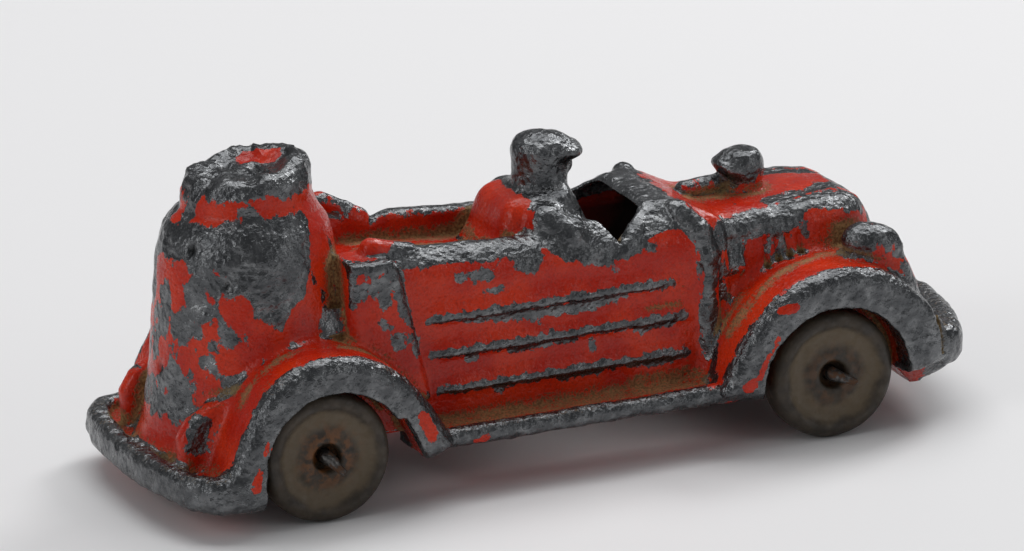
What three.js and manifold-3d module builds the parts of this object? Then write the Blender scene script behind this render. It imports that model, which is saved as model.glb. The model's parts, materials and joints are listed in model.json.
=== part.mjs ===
// Toy fire engine, about 87 mm long: one hollow slush-cast metal body, two wire axles with nipped
// ends, and four moulded rubber wheels. Millimetres. +X is the front, +Z is up. The sizes below count X
// from the middle of the wheelbase, and the whole group is then moved to put its origin on the ground
// under the middle of its length.
import * as THREE from 'three';
import { mergeVertices } from 'three/addons/utils/BufferGeometryUtils.js';
import Module from 'manifold-3d';

const wasm = await Module();
wasm.setup();

// ---- Driving dimensions ----
const WHEEL_RADIUS = 6.57;
const WHEEL_WIDTH = 4.0;
// Each axle: its place, its wheels' outer faces, and the well, arch mouth and hollow around it.
const FRONT_AXLE = {
  end: 'front', x: 27.0, wheelFace: 15.0, wellRadius: 7.3, mouthX: 27.1, mouthRadius: 7.8,
  hollowRadius: 8.9,
};
const REAR_AXLE = {
  end: 'rear', x: -26.6, wheelFace: 15.0, wellRadius: 7.0, mouthX: -25.8, mouthRadius: 7.1,
  hollowRadius: 6.7,
};
const SIDE_PLAY = 0.3; // room for each wheel to slide along the wire
const AXLE_RADIUS = 0.68;
const RUNNING_GAP = 0.1; // radial play of the wire in the body's holes and in the wheels
const HEAD_WIDTH = 2.1; // the nipped end of the wire, wider than the wheel's bore
const WALL = 1.5; // thickness of the cast metal

const BODY_BOTTOM = 5.2;
const BODY_SIDE = 9.0; // half the width over the side panels
const FENDER_FACE = 15.9; // half the width over the fenders
const LIP = 0.6; // thickness of the fender's outer lip over the wheel
const BOARD_EDGE = 14.4; // half the width over the running boards
const BODY_REAR = -21.6;
const SEAT_X = -0.5; // front end of the hose trough
const RAIL_HEIGHT = 23.3;
const TROUGH_FLOOR = 20.5;
const TROUGH_HALF = 5.2;

const COWL_REAR = 6.6;
const COWL_FRONT = 17.4;
const COWL_HEIGHT = 24.8;
const HOOD_SIDE = 7.9;
const HOOD_HEIGHT = 22.8;
const HOOD_FRONT = 36.6;

const BOILER_X = -29.2;
const BOILER_TOP = 33.2;

const PLATFORM_REAR = -42.2;
const PLATFORM_BOTTOM = 2.7;
const PLATFORM_FLOOR = 5.2;
const RIM_HEIGHT = 6.0;

const DRIVER_X = 3.3;
const BELL_X = 23.8;
const BUMPER_FRONT = 44.8;
const MIDDLE_X = (PLATFORM_REAR + BUMPER_FRONT) / 2;

// ---- Shaping helpers ----
const toSolid = (geometry) => {
  const bare = geometry.index ? geometry.toNonIndexed() : geometry.clone();
  bare.deleteAttribute('normal');
  bare.deleteAttribute('uv');
  const merged = mergeVertices(bare, 1e-4);
  const mesh = new wasm.Mesh({
    numProp: 3,
    vertProperties: new Float32Array(merged.attributes.position.array),
    triVerts: new Uint32Array(merged.index.array),
  });
  return new wasm.Manifold(mesh);
};

const toGeometry = (solid) => {
  const mesh = solid.getMesh();
  const geometry = new THREE.BufferGeometry();
  geometry.setAttribute('position', new THREE.BufferAttribute(mesh.vertProperties, 3));
  geometry.setIndex(new THREE.BufferAttribute(mesh.triVerts, 1));
  geometry.computeVertexNormals();
  return geometry;
};

const join = (solids) => solids.reduce((total, solid) => total.add(solid));
const outline = (points) => new THREE.Shape(points.map(([u, v]) => new THREE.Vector2(u, v)));
const onBothSides = (make) => [make(-1), make(1)];
const PLAIN_EXTRUSION = { bevelEnabled: false, curveSegments: 8 };

// An outline in X and Z, pushed out across the body from y0 to y1.
const acrossBody = (shape, y0, y1) => {
  const geometry = new THREE.ExtrudeGeometry(shape, { depth: y1 - y0, ...PLAIN_EXTRUSION });
  return toSolid(geometry.rotateX(Math.PI / 2).translate(0, y1, 0));
};

// An outline in Y and Z, pushed out along the body from x0 to x1.
const alongBody = (shape, x0, x1) => {
  const geometry = new THREE.ExtrudeGeometry(shape, { depth: x1 - x0, ...PLAIN_EXTRUSION });
  const turn = new THREE.Matrix4().makeBasis(
    new THREE.Vector3(0, 1, 0), new THREE.Vector3(0, 0, 1), new THREE.Vector3(1, 0, 0));
  return toSolid(geometry.applyMatrix4(turn).translate(x0, 0, 0));
};

// An outline in X and Y, pushed up from z0 to z1.
const upward = (shape, z0, z1) =>
  toSolid(new THREE.ExtrudeGeometry(shape, { depth: z1 - z0, ...PLAIN_EXTRUSION }).translate(0, 0, z0));

const box = (x0, x1, y0, y1, z0, z1) =>
  toSolid(new THREE.BoxGeometry(x1 - x0, y1 - y0, z1 - z0)
    .translate((x0 + x1) / 2, (y0 + y1) / 2, (z0 + z1) / 2));

const egg = (rx, ry, rz, x, y, z, tilt = 0) =>
  toSolid(new THREE.SphereGeometry(1, 14, 8).scale(rx, ry, rz).rotateY(tilt).translate(x, y, z));

// A turned shape with its axis upright; the profile is a list of [radius, height].
const turnedUpright = (profile, x, y) => {
  const points = profile.map(([radius, height]) => new THREE.Vector2(radius, height));
  return toSolid(new THREE.LatheGeometry(points, 28).rotateX(Math.PI / 2).translate(x, y, 0));
};

// A round bar or hole across the body, from y0 to y1.
const crossBar = (radius, x, z, y0, y1, sides = 24) =>
  toSolid(new THREE.CylinderGeometry(radius, radius, y1 - y0, sides).translate(x, (y0 + y1) / 2, z));

// A symmetric arch in Y and Z: straight sides, a rounded shoulder and a nearly flat crown.
const archShape = (half, bottom, shoulder, crownHalf, crown) => {
  const shape = new THREE.Shape();
  shape.moveTo(-half, bottom);
  shape.lineTo(half, bottom);
  shape.lineTo(half, shoulder);
  shape.quadraticCurveTo(half, crown - 0.5, crownHalf, crown - 0.3);
  shape.quadraticCurveTo(0, crown + 0.3, -crownHalf, crown - 0.3);
  shape.quadraticCurveTo(-half, crown - 0.5, -half, shoulder);
  return shape;
};

// ---- Body: hose bed, cowl and hood, each shrunk by the wall for its hollow ----
const hoseBed = (inset) => {
  const crown = RAIL_HEIGHT + 0.3 - inset;
  const shape = archShape(BODY_SIDE - inset, BODY_BOTTOM - 3 * inset, 19.0, 6.2 - inset, crown);
  const bed = alongBody(shape, BODY_REAR + inset, COWL_FRONT - 1 - inset);
  const half = TROUGH_HALF + inset;
  return bed.subtract(box(BODY_REAR - 1, SEAT_X + inset, -half, half, TROUGH_FLOOR - inset, crown + 5));
};

// The narrower neck that joins the hose bed to the boiler.
const neck = (inset) => box(
  BOILER_X, BODY_REAR + 2, -6.0 + inset, 6.0 - inset, BODY_BOTTOM - 3 * inset, TROUGH_FLOOR - inset);

const cowl = (inset) => {
  const crown = COWL_HEIGHT - inset;
  const shape = archShape(BODY_SIDE - inset, BODY_BOTTOM - 3 * inset, 18.0, 5.2 - inset, crown);
  const side = outline([
    [COWL_REAR + inset, BODY_BOTTOM - 5], [COWL_FRONT - inset, BODY_BOTTOM - 5],
    [COWL_FRONT - inset, HOOD_HEIGHT - inset], [13.0, COWL_HEIGHT + 0.4 - inset],
    [11.0, COWL_HEIGHT - inset], [COWL_REAR + inset, 21.0],
  ]);
  return alongBody(shape, COWL_REAR - 1, COWL_FRONT + 1).intersect(acrossBody(side, -15, 15));
};

const hood = (inset) => {
  const crown = HOOD_HEIGHT - inset;
  const shape = archShape(HOOD_SIDE - inset, BODY_BOTTOM - 3 * inset, 17.0, 4.2 - inset, crown);
  const front = HOOD_FRONT - inset;
  const side = new THREE.Shape();
  side.moveTo(COWL_FRONT - 3 - inset, BODY_BOTTOM - 5);
  side.lineTo(front + 0.9, BODY_BOTTOM - 5);
  side.lineTo(front + 0.7, 9.0);
  side.lineTo(front, 15.5);
  side.quadraticCurveTo(front - 2.0, HOOD_HEIGHT - inset, front - 7.0, HOOD_HEIGHT + 0.2 - inset);
  side.lineTo(COWL_FRONT - 3 - inset, HOOD_HEIGHT + 0.2 - inset);
  return alongBody(shape, COWL_FRONT - 4, HOOD_FRONT + 3).intersect(acrossBody(side, -15, 15));
};

// ---- Fenders: a thick rounded arch over each wheel ----
const fender = (side, points) => {
  const shape = new THREE.Shape();
  shape.moveTo(...points[0]);
  shape.splineThru(points.slice(1).map(([x, z]) => new THREE.Vector2(x, z)));
  shape.closePath();
  const inner = HOOD_SIDE - WALL;
  return acrossBody(shape, side < 0 ? -FENDER_FACE : inner, side < 0 ? -inner : FENDER_FACE);
};
const REAR_FENDER = [
  [-36.4, 2.8], [-35.2, 6.0], [-33.9, 10.2], [-32.2, 13.6], [-29.6, 15.9], [-26.0, 16.6], [-20.4, 14.7],
  [-17.1, 11.4], [-14.6, 7.4], [-13.4, 5.2],
];
const FRONT_FENDER = [
  [15.4, 5.6], [16.8, 10.8], [20.0, 14.6], [24.0, 16.6], [28.7, 17.2], [34.4, 15.5], [38.3, 12.0],
  [39.7, 8.6], [38.4, 5.7],
];
const fenders = (side) => fender(side, REAR_FENDER).add(fender(side, FRONT_FENDER));

// An arch-shaped hole across the body: round on top and open to the ground.
const archHole = (radius, x, z, y0, y1) =>
  crossBar(radius, x, z, y0, y1, 28).add(box(x - radius, x + radius, y0, y1, -1, z));
const earFace = (axle) => axle.wheelFace - WHEEL_WIDTH - SIDE_PLAY;
const wheelWell = (axle) => {
  const well = archHole(axle.wellRadius, axle.x, WHEEL_RADIUS - 0.3, earFace(axle), FENDER_FACE - LIP);
  const lipInside = FENDER_FACE - 1.5 * LIP;
  const mouth = archHole(axle.mouthRadius, axle.mouthX, WHEEL_RADIUS - 0.8, lipInside, FENDER_FACE + 1);
  const pair = well.add(mouth);
  return pair.add(pair.mirror([0, 1, 0]));
};
// The rear fenders end in a narrow tail, and the body's wall is cut short between it and the wheel.
const tailCut = acrossBody(outline([
  [-22.0, 0], [-16.4, 0], [-16.4, 5.2], [-18.9, 9.6], [-22.0, 9.6]]), 10, FENDER_FACE + 1);
const wallCut = box(-21.0, -16.4, -11, 11, 0, 6.6);
// The hollow between a pair of wheels, which leaves the ears that the axle passes through.
const wheelHollow = (axle) => {
  const half = earFace(axle) - WALL;
  return archHole(axle.hollowRadius, axle.x, WHEEL_RADIUS - 0.4, -half, half);
};

// ---- Running boards, side panels and their relief ----
const runningBoard = (side) => {
  const reach = box(-15.5, 17.5, BODY_SIDE - WALL, BOARD_EDGE - 0.7, BODY_BOTTOM, 6.8);
  const edge = new THREE.CylinderGeometry(0.8, 0.8, 33, 12).rotateZ(Math.PI / 2);
  const board = reach.add(toSolid(edge.translate(1.0, BOARD_EDGE - 0.8, 6.1)));
  return side < 0 ? board.mirror([0, 1, 0]) : board;
};
const PANEL_RIDGES = [
  { rear: -13.7, front: 12.4, height: 16.7 },
  { rear: -13.5, front: 13.8, height: 13.1 },
  { rear: -12.6, front: 14.0, height: 9.4 },
];
const panelRelief = (side) => {
  const ridges = PANEL_RIDGES.map(({ rear, front, height }) => {
    const rod = new THREE.CylinderGeometry(0.5, 0.5, front - rear, 10).rotateZ(Math.PI / 2);
    return toSolid(rod.translate((rear + front) / 2, BODY_SIDE, height));
  });
  const block = acrossBody(outline([
    [-21.9, 12.0], [-13.6, 9.0], [-15.0, 15.0], [-16.4, 23.0], [-21.6, 23.9]]), 5.2, BODY_SIDE + 0.6);
  const doorRib = acrossBody(outline([
    [14.8, 5.4], [17.4, 5.4], [17.4, 20.4], [14.8, 20.4]]), HOOD_SIDE - WALL, BODY_SIDE + 0.6);
  const relief = join([...ridges, block, doorRib]);
  return side < 0 ? relief.mirror([0, 1, 0]) : relief;
};
const LOUVRE_X = [23.1, 24.4, 25.7, 27.0];
const louvres = (side) => join(LOUVRE_X.map((x) => {
  const slit = box(x - 0.18, x + 0.18, HOOD_SIDE - 0.45, HOOD_SIDE + 1, 15.8, 19.3);
  return side < 0 ? slit.mirror([0, 1, 0]) : slit;
}));

// ---- Boiler, with a stepped collar on top ----
const boiler = turnedUpright([
  [0, PLATFORM_FLOOR - 0.5], [11.2, PLATFORM_FLOOR - 0.5], [10.4, 7.4], [9.8, 10.5], [9.3, 17.5],
  [8.8, 24.6], [8.2, 26.8], [6.6, 28.8], [6.3, 29.3], [6.2, 31.4], [5.6, 32.6], [4.6, BOILER_TOP],
  [3.4, 32.3], [0, 32.1],
], BOILER_X, 0);
const boilerHollow = turnedUpright([
  [0, 0], [8.9, 0], [8.8, 7.4], [8.3, 10.5], [7.8, 17.5], [7.3, 24.0], [6.6, 26.0], [4.9, 28.0],
  [4.7, 30.4], [0, 30.5],
], BOILER_X, 0);

// ---- Rear platform: a curved step with a raised rim ----
const platformPlan = (inset) => {
  const half = FENDER_FACE - 0.2 - inset;
  const rear = PLATFORM_REAR + inset;
  const front = -33.0;
  const shape = new THREE.Shape();
  shape.moveTo(front, -half);
  shape.lineTo(-36.4, -half);
  shape.quadraticCurveTo(rear + 2.6, -half, rear + 1.9, -half + 3.4);
  shape.quadraticCurveTo(rear - 1.9, 0, rear + 1.9, half - 3.4);
  shape.quadraticCurveTo(rear + 2.6, half, -36.4, half);
  shape.lineTo(front, half);
  return shape;
};
const platform = upward(platformPlan(0), PLATFORM_BOTTOM, RIM_HEIGHT)
  .subtract(upward(platformPlan(2.2), PLATFORM_FLOOR, RIM_HEIGHT + 1));
const platformHollow = upward(platformPlan(2.0), PLATFORM_BOTTOM - 3, PLATFORM_FLOOR - WALL);

// The two cast gussets that brace the boiler from the platform.
const gusset = (side) => acrossBody(outline([
  [-39.6, PLATFORM_FLOOR - 0.3], [-34.0, PLATFORM_FLOOR - 0.3], [-34.0, 12.4], [-37.6, 11.2], [-39.5, 9.8],
]), side < 0 ? -9.0 : 7.2, side < 0 ? -7.2 : 9.0);

// ---- Seat back and driver, cast in one with the body ----
const seatBack = acrossBody(outline([
  [-3.6, 19.4], [5.0, 19.4], [4.6, 25.0], [0.4, 25.6], [-1.4, 25.0], [-3.4, 22.0]]), -3.6, 3.6)
  .add(box(-0.8, 4.6, -6.4, 6.4, 19.4, 22.6));
const torso = turnedUpright([[0, 19.4], [3.0, 19.4], [3.0, 23.0], [2.4, 26.2], [0, 26.4]], 0, 0)
  .scale([1, 1.9, 1]).translate([DRIVER_X, 0, 0]);
const head = join([
  egg(2.8, 2.5, 3.0, DRIVER_X - 0.3, 0, 27.4),
  turnedUpright([[0, 28.2], [3.1, 28.2], [3.4, 29.4], [2.9, 30.6], [0, 30.9]], DRIVER_X - 0.2, 0),
  egg(2.4, 2.6, 0.5, DRIVER_X + 1.9, 0, 28.7, 0.25),
]);
const arms = join(onBothSides((side) => egg(3.9, 1.6, 1.5, DRIVER_X + 1.0, side * 6.0, 22.6, 0.5)));

// ---- Bell on the hood, headlights on the front fenders, bumper ----
const bell = join([
  egg(2.3, 2.0, 1.7, BELL_X, 0, 25.4, -0.35),
  turnedUpright([[0, 22.4], [1.7, 22.4], [1.5, 25.4], [0, 25.4]], BELL_X + 0.2, 0),
  box(17.4, BELL_X, -0.9, 0.9, 22.4, 24.0),
]);
const headlight = (side) => join([
  egg(2.9, 2.1, 2.0, 34.0, side * 10.5, 18.0, 0.35),
  acrossBody(outline([[28.6, 15.0], [37.6, 12.0], [36.8, 16.6], [34.0, 18.0], [29.8, 17.4]]),
    side * 10.5 - 1.6, side * 10.5 + 1.6),
]);
const bumperPlan = () => {
  const shape = new THREE.Shape();
  shape.moveTo(38.4, -14.6);
  shape.quadraticCurveTo(41.4, -15.4, 42.2, -12.0);
  shape.quadraticCurveTo(2 * BUMPER_FRONT - 42.2, 0, 42.2, 12.0);
  shape.quadraticCurveTo(41.4, 15.4, 38.4, 14.6);
  shape.quadraticCurveTo(34.0, 0, 38.4, -14.6);
  return shape;
};
const bumper = upward(bumperPlan(), 5.4, 9.2);

// ---- Cockpit: a notch down into both sides behind the cowl, and the open space under the cowl ----
const COCKPIT_REAR = 5.6;
const NOTCH_DEEPEST = [7.2, 21.3];
const notch = acrossBody(outline([NOTCH_DEEPEST, [11.0, 25.3], [11.0, 27.0], [4.2, 27.0]]), -10, 10);
const underCowl = alongBody(
  archShape(BODY_SIDE - 1.7, 14.0, 18.0, 4.0, COWL_HEIGHT - 1.3), COCKPIT_REAR, 13.0);
const cockpit = notch.add(underCowl);

// ---- The casting: the shell's parts joined, the driver set into them, then hollowed from below ----
const shell = join([
  hoseBed(0), neck(0), cowl(0), hood(0), boiler, platform, bell, bumper,
  ...onBothSides(fenders), ...onBothSides(runningBoard), ...onBothSides(panelRelief),
  ...onBothSides(gusset), ...onBothSides(headlight),
]);
const outer = join([shell.subtract(cockpit), seatBack, torso, head, arms]);
const hollow = join([
  hoseBed(WALL), neck(WALL), cowl(WALL), hood(WALL), boilerHollow, platformHollow,
  tailCut, tailCut.mirror([0, 1, 0]), wallCut,
  ...onBothSides(louvres),
  ...[FRONT_AXLE, REAR_AXLE].flatMap((axle) => [
    wheelWell(axle), wheelHollow(axle),
    crossBar(AXLE_RADIUS + RUNNING_GAP, axle.x, WHEEL_RADIUS, -FENDER_FACE, FENDER_FACE),
  ]),
]);
const castingSolid = outer.subtract(hollow);

// ---- Axle: a steel wire, nipped flat at both ends to hold the wheels on ----
const axleGeometry = (wheelFace) => {
  const reach = wheelFace - 0.7;
  const wire = crossBar(AXLE_RADIUS, 0, 0, -reach, reach);
  const heads = onBothSides((side) => {
    const head = new THREE.BoxGeometry(HEAD_WIDTH, 1.3, 0.8).translate(0, side * (reach + 0.6), 0);
    const tip = new THREE.CylinderGeometry(0.3, 0.55, 0.8, 12).rotateX(side < 0 ? Math.PI : 0);
    return toSolid(head).add(toSolid(tip.translate(0, side * (reach + 1.4), 0)));
  });
  return toGeometry(join([wire, ...heads]));
};

// ---- Wheel: one moulded piece of rubber with a shallow dish in its face and a recess at the hub ----
const wheelGeometry = () => {
  const bore = AXLE_RADIUS + RUNNING_GAP;
  const profile = [
    [bore, 0], [5.4, 0], [6.2, 0.25], [WHEEL_RADIUS, 0.9], [WHEEL_RADIUS, 3.0], [6.2, 3.75],
    [5.6, WHEEL_WIDTH], [4.6, WHEEL_WIDTH], [4.0, 3.6], [2.2, 3.6], [1.35, 3.75],
    [1.3, 2.7], [bore, 2.7], [bore, 0],
  ];
  const points = profile.map(([radius, depth]) => new THREE.Vector2(radius, depth));
  return toGeometry(toSolid(new THREE.LatheGeometry(points, 36)));
};

// ---- Finishes ----
const finish = (color, roughness, metalness) =>
  new THREE.MeshStandardMaterial({ color, roughness, metalness });
const paintedMetal = () => finish(0x96281a, 0.45, 0.2);
const steelWire = () => finish(0x4a4642, 0.5, 0.9);
const agedRubber = () => finish(0x3d3630, 0.85, 0);

const fireEngine = new THREE.Group();
fireEngine.position.x = -MIDDLE_X;

const bodyCasting = new THREE.Mesh(toGeometry(castingSolid), paintedMetal());
bodyCasting.name = 'body_casting';
fireEngine.add(bodyCasting);

for (const { end, x, wheelFace } of [FRONT_AXLE, REAR_AXLE]) {
  const axle = new THREE.Mesh(axleGeometry(wheelFace), steelWire());
  axle.name = `${end}_axle`;
  axle.position.set(x, 0, WHEEL_RADIUS);
  fireEngine.add(axle);
  for (const [hand, side] of [['left', 1], ['right', -1]]) {
    const wheel = new THREE.Mesh(wheelGeometry(), agedRubber());
    wheel.name = `wheel_${end}_${hand}`;
    wheel.position.set(x, side * (wheelFace - WHEEL_WIDTH), WHEEL_RADIUS);
    wheel.rotation.x = side < 0 ? Math.PI : 0;
    fireEngine.add(wheel);
  }
}

export default fireEngine;
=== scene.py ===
"""Toy fire engine: a hollow slush-cast body in chipped red enamel, on wire axles and rubber wheels.

Lengths are in millimetres. X is counted from near the middle of the wheelbase, Y from the centre plane
and Z from the ground. The front is towards +X and the right side towards -Y.
"""

import json
import math

import bmesh
import bpy
import numpy as np
from mathutils import Matrix, Vector


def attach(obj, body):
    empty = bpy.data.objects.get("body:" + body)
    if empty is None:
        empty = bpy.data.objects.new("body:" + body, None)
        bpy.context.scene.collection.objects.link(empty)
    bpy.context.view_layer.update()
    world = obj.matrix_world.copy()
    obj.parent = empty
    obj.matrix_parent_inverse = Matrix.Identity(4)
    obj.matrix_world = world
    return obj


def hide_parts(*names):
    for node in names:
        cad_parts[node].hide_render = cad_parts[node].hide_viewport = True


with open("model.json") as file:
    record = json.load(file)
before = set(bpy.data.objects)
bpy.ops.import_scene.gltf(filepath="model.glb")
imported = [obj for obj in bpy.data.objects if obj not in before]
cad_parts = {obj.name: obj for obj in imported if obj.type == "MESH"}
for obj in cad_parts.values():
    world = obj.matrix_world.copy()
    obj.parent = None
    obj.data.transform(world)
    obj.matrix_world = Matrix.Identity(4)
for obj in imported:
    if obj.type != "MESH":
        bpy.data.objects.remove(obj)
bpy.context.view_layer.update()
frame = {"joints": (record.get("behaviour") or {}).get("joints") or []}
MM = 0.001
TURNS = {j["name"]: Vector(j["pos_m"]) for j in frame["joints"]}
front_axle_at = TURNS["front_axle_turn"] / MM
rear_axle_at = TURNS["rear_axle_turn"] / MM
# X = 0 lies a little behind the middle of the wheelbase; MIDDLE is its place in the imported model.
BEHIND_MIDDLE = 0.2
MIDDLE = (front_axle_at.x + rear_axle_at.x) / 2 - BEHIND_MIDDLE


# Camera, table and lights. A long lens looks down on the right side from a little behind, over a plain
# pale sweep. One wide soft light hangs overhead; three smaller ones stand behind, left and in front.
CAMERA_AT = Vector((-0.28353, -0.69507, 0.26145))
AZIMUTH = math.radians(22.03)
ELEVATION = math.radians(18.06)
ROLL = math.radians(-1.80)
look = Vector((math.sin(AZIMUTH) * math.cos(ELEVATION), math.cos(AZIMUTH) * math.cos(ELEVATION),
               -math.sin(ELEVATION)))
camera_data = bpy.data.cameras.new("camera")
camera_data.sensor_width = 36.0
camera_data.lens = 281.25
camera_data.clip_start = 0.05
camera_data.clip_end = 20.0


def new_object(name, data):
    """An object in the scene."""
    made = bpy.data.objects.new(name, data)
    bpy.context.scene.collection.objects.link(made)
    return made


camera = new_object("camera", camera_data)
camera.rotation_mode = "QUATERNION"
camera.rotation_quaternion = look.to_track_quat("-Z", "Y") @ Matrix.Rotation(ROLL, 3, "Z").to_quaternion()
camera.location = CAMERA_AT
bpy.context.scene.view_settings.view_transform = "Standard"
bpy.context.scene.camera = camera


def new_material(name):
    material = bpy.data.materials.new(name)
    material.use_nodes = True
    return material


floor_material = new_material("pale_table")
floor_shader = floor_material.node_tree.nodes["Principled BSDF"]
floor_shader.inputs["Base Color"].default_value = (0.86, 0.855, 0.86, 1)
floor_shader.inputs["Roughness"].default_value = 0.42
floor_shader.inputs["Specular IOR Level"].default_value = 0.35

SWEEP_NEAR, SWEEP_FAR, SWEEP_RISE, SWEEP_HALF = -3.0, 2.2, 1.2, 4.0
sweep_profile = [(SWEEP_NEAR, 0.0), (SWEEP_FAR, 0.0)]
sweep_profile += [(SWEEP_FAR + SWEEP_RISE * math.sin(a), SWEEP_RISE * (1 - math.cos(a)))
                  for a in np.linspace(0.1, math.pi / 2, 14)]
sweep_profile.append((SWEEP_FAR + SWEEP_RISE, 4.5))
sweep_points = [(side * SWEEP_HALF, y, z) for y, z in sweep_profile for side in (-1, 1)]
sweep_faces = [(2 * i, 2 * i + 1, 2 * i + 3, 2 * i + 2) for i in range(len(sweep_profile) - 1)]
sweep_mesh = bpy.data.meshes.new("table_sweep")
sweep_mesh.from_pydata(sweep_points, [], sweep_faces)
sweep_mesh.polygons.foreach_set("use_smooth", [True] * len(sweep_faces))
sweep_mesh.materials.append(floor_material)
sweep = new_object("table_sweep", sweep_mesh)

world = bpy.data.worlds.new("studio")
world.use_nodes = True
world.node_tree.nodes["Background"].inputs["Color"].default_value = (0.95, 0.97, 1.0, 1)
world.node_tree.nodes["Background"].inputs["Strength"].default_value = 0.22
bpy.context.scene.world = world


def soft_light(name, place, aim, width, height, power):
    """A rectangular light, in metres and watts, that faces the place it is aimed at."""
    data = bpy.data.lights.new(name, "AREA")
    data.shape = "RECTANGLE"
    data.size, data.size_y = width, height
    data.energy = power
    light = new_object(name, data)
    light.location = place
    light.rotation_euler = (Vector(aim) - Vector(place)).to_track_quat("-Z", "Y").to_euler()


soft_light("overhead_box", (0.12, 0.22, 0.75), (0, 0.05, 0.0), 0.8, 0.5, 3.85)
soft_light("right_back_box", (0.55, 0.30, 0.50), (0, 0, 0.01), 0.25, 0.2, 1.9)
soft_light("left_box", (-0.75, -0.15, 0.40), (0, 0, 0.01), 0.35, 0.5, 1.3)
soft_light("front_right_box", (0.55, -0.65, 0.35), (0, 0, 0.01), 0.25, 0.35, 0.55)


# Body casting. One shell of lead alloy, slush-cast in a two-part mould: molten metal is poured in and
# poured out again, which leaves a thin wall, soft corners and an open underside. It is worked out here
# as distances to simple shapes that flow into each other, and a skin is then drawn over them.
WALL = 1.5
BODY_BOTTOM = 5.2
PANEL = 9        # half the width over the side panels
FENDER = 15.75     # half the width over the fenders
BOARD = 14.3       # half the width over the running boards
HOOD = 8         # half the width over the hood
EAR = 10.7         # outer faces of the ears that hold the wires, from the centre plane
BOILER_X = -29.1   # the boiler's middle
FRONT_X, REAR_X, AXLE_Z = 27, -26.6, 6.57


def soft_join(a, b, fillet):
    """Two distances joined into one shape, with a fillet where they meet."""
    h = np.maximum(fillet - np.abs(a - b), 0) / fillet
    return np.minimum(a, b) - h * h * fillet * 0.25


def soft_joins(total, *others):
    """Joins shapes on one after another; each comes with its fillet."""
    for shape, fillet in others:
        total = soft_join(total, shape, fillet)
    return total


def soft_cut(a, b, fillet):
    return -soft_join(-a, b, fillet)


def folded(p):
    """The points with both sides folded onto one, for shapes that are the same left and right."""
    return np.stack([p[:, 0], np.abs(p[:, 1]), p[:, 2]], axis=1)


def swept(section, along, low, high, edge):
    """A section's distance, swept from low to high along another axis, with its edges rounded."""
    a = section + edge
    b = np.maximum(low - along, along - high) + edge
    return np.minimum(np.maximum(a, b), 0) + np.hypot(np.maximum(a, 0), np.maximum(b, 0)) - edge


def arch_section(across, z, half, top, corner):
    """Distance to a round-shouldered arch that runs on down for ever."""
    a = across - half + corner
    b = z - top + corner
    return np.minimum(np.maximum(a, b), 0) + np.hypot(np.maximum(a, 0), np.maximum(b, 0)) - corner


def rod(p, a, b, radius, end_radius=None):
    """Distance to a round-ended rod, tapering from one radius to the other."""
    a, b = np.array(a, np.float32), np.array(b, np.float32)
    end_radius = radius if end_radius is None else end_radius
    t = np.clip(((p - a) @ (b - a)) / ((b - a) @ (b - a)), 0, 1)
    return np.linalg.norm(p - a - t[:, None] * (b - a), axis=1) - (radius + t * (end_radius - radius))


def egg(p, centre, radii, tilt=0):
    """Distance to an egg; tilt leans it forward about the cross axis, in radians."""
    q = p - np.array(centre, np.float32)
    c, s = math.cos(tilt), math.sin(tilt)
    q = np.stack([q[:, 0] * c - q[:, 2] * s, q[:, 1], q[:, 0] * s + q[:, 2] * c], axis=1)
    q = q / np.array(radii, np.float32)
    length = np.linalg.norm(q, axis=1)
    return (length - 1) * min(radii) * np.maximum(length, 0.3) ** -0.3


class Outline:
    """A closed outline, round or straight between its points, that gives the distance to itself."""

    STEP = 0.12
    REACH = 5

    def __init__(self, points, rounded=True):
        line = np.array(points, float)
        if rounded:
            line = self.round_off(line)
        self.low = line.min(0) - self.REACH
        counts = np.ceil((line.max(0) + self.REACH - self.low) / self.STEP).astype(int) + 1
        u = self.low[0] + self.STEP * np.arange(counts[0])
        v = self.low[1] + self.STEP * np.arange(counts[1])
        u, v = np.meshgrid(u, v, indexing="ij")
        nearest = np.full(u.shape, 1e9)
        inside = np.zeros(u.shape, bool)
        for (au, av), (bu, bv) in zip(line, np.roll(line, -1, 0)):
            eu, ev = bu - au, bv - av
            t = np.clip(((u - au) * eu + (v - av) * ev) / max(eu * eu + ev * ev, 1e-12), 0, 1)
            nearest = np.minimum(nearest, np.hypot(u - au - t * eu, v - av - t * ev))
            if av != bv:
                crosses = ((av > v) != (bv > v)) & (u < (bu - au) * (v - av) / (bv - av) + au)
                inside ^= crosses
        self.grid = np.where(inside, -nearest, nearest).astype(np.float32)

    @staticmethod
    def round_off(line, steps=6):
        """A Catmull-Rom curve through the points."""
        before, after, beyond = np.roll(line, 1, 0), np.roll(line, -1, 0), np.roll(line, -2, 0)
        rows = []
        for t in np.arange(steps) / steps:
            rows.append(0.5 * (2 * line + (after - before) * t
                               + (2 * before - 5 * line + 4 * after - beyond) * t ** 2
                               + (3 * line - before - 3 * after + beyond) * t ** 3))
        return np.stack(rows, axis=1).reshape(-1, 2)

    def __call__(self, u, v):
        a = np.clip((u - self.low[0]) / self.STEP, 0, self.grid.shape[0] - 1.001)
        b = np.clip((v - self.low[1]) / self.STEP, 0, self.grid.shape[1] - 1.001)
        i, j = a.astype(np.int32), b.astype(np.int32)
        a, b = (a - i).astype(np.float32), (b - j).astype(np.float32)
        g = self.grid
        return ((g[i, j] * (1 - a) + g[i + 1, j] * a) * (1 - b)
                + (g[i, j + 1] * (1 - a) + g[i + 1, j + 1] * a) * b)


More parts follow.
